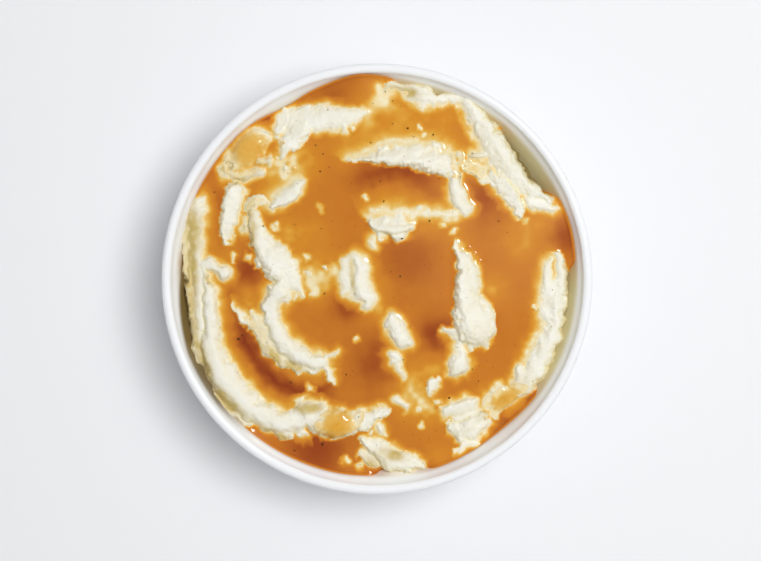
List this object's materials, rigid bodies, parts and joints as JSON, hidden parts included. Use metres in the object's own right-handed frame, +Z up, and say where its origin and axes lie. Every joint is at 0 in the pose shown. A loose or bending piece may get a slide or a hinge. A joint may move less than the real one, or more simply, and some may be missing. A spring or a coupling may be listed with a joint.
{
  "type": "mashed potato side",
  "caption": "White coupe bowl of mashed potato swirled into ridges, with brown gravy lying in the furrows.",
  "frame": {"origin": "centre of the foot ring, on the surface the bowl stands on", "axes": "+Z up out of the bowl's mouth; seen from above with the front lump of mash at -Y, +X is to the right"},
  "size_m": [0.14, 0.14, 0.0518],
  "materials": {
    "bowl": "white gloss glaze",
    "mash": "soft, moist, off-white potato",
    "gravy": "glossy translucent brown gravy"
  },
  "bodies": {
    "root": {"bowl": "bowl", "mash": "mash", "gravy": "gravy", "gravy_front": "gravy"}
  },
  "joints": []
}
